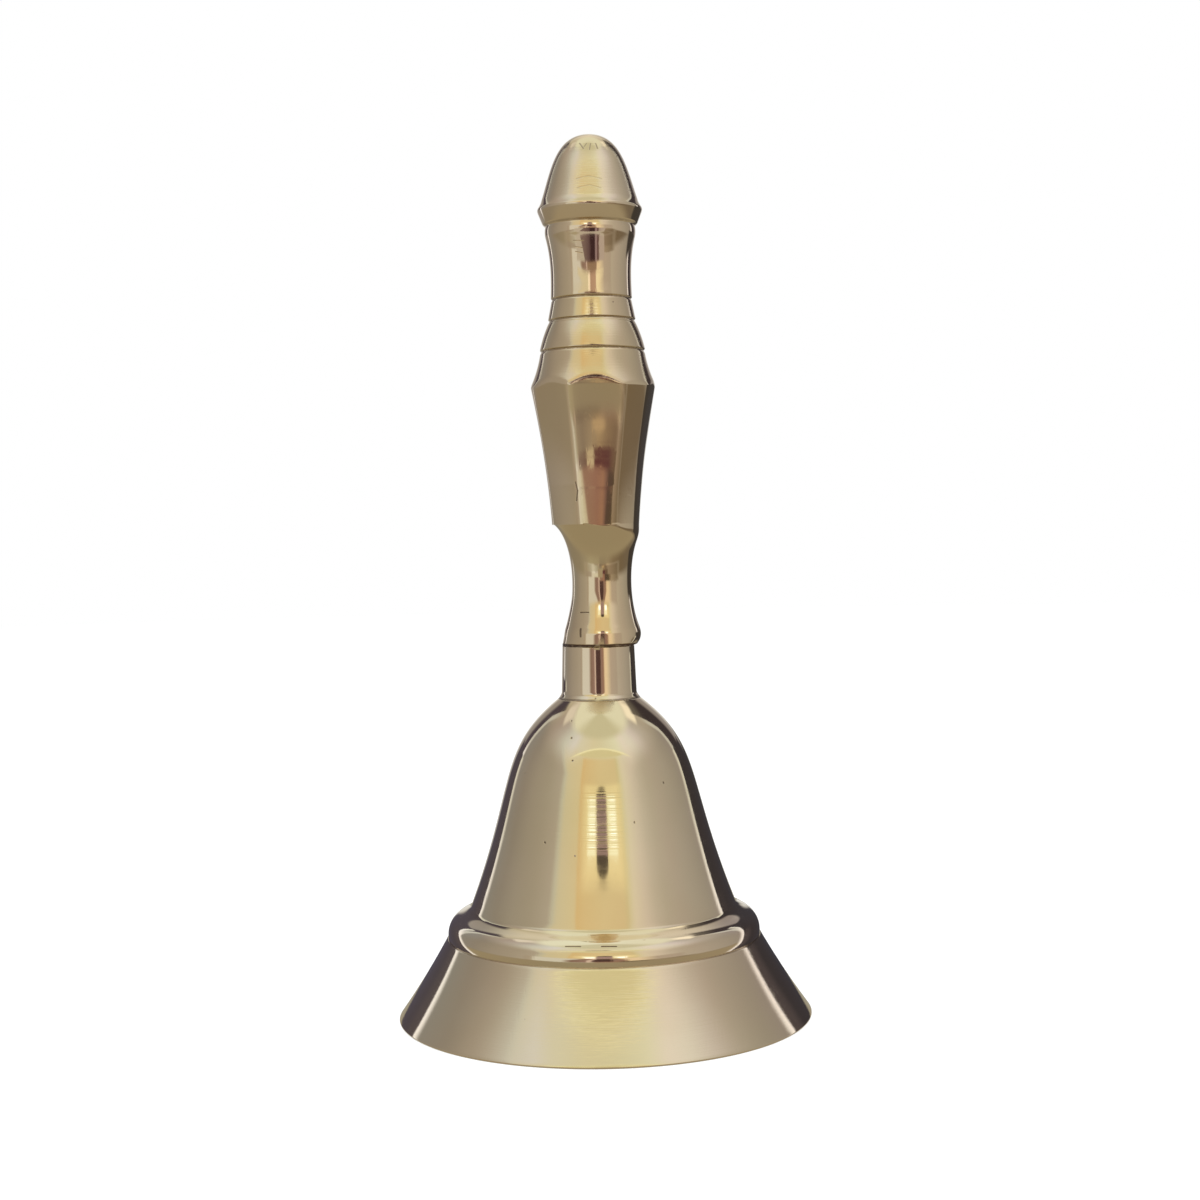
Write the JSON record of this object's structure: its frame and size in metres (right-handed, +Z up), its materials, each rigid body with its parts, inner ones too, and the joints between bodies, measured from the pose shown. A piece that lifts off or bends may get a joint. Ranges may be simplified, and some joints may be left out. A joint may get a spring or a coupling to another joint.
{
  "type": "altar bell",
  "caption": "Small brass hand bell with a flared mouth, a turned and faceted handle and a free swinging clapper, for ringing at an altar.",
  "frame": {"origin": "centre of the mouth, on the plane that the rim stands on", "axes": "+Z up the middle of the neck and handle; -Y is the side that the picture shows, with +X to its right"},
  "size_m": [0.0656, 0.0656, 0.1403],
  "materials": {
    "handle_brass": "polished, hand ground facets, light tarnish in the grooves",
    "bell_brass": "polished, with fine turning lines",
    "clapper_brass": "turned, dull with small strike marks",
    "steel": "plain drawn steel, slightly oxidised"
  },
  "bodies": {
    "bell_and_handle": {"handle": "handle_brass", "bell": "bell_brass", "eye_bolt": "steel", "crown_washer": "steel", "crown_nut": "steel"},
    "link": {"clapper_link": "steel"},
    "clapper": {"clapper_rod": "steel", "clapper_ball": "clapper_brass"}
  },
  "joints": [
    {"name": "link_swing", "type": "hinge", "parent": "bell_and_handle", "child": "link", "pos_m": [0, 0, 0.0343], "axis": [0, 1, 0], "range_deg": [-31, 31]},
    {"name": "clapper_swing", "type": "hinge", "parent": "link", "child": "clapper", "pos_m": [0, 0, 0.02962], "axis": [1, 0, 0], "range_deg": [-8, 8]}
  ]
}
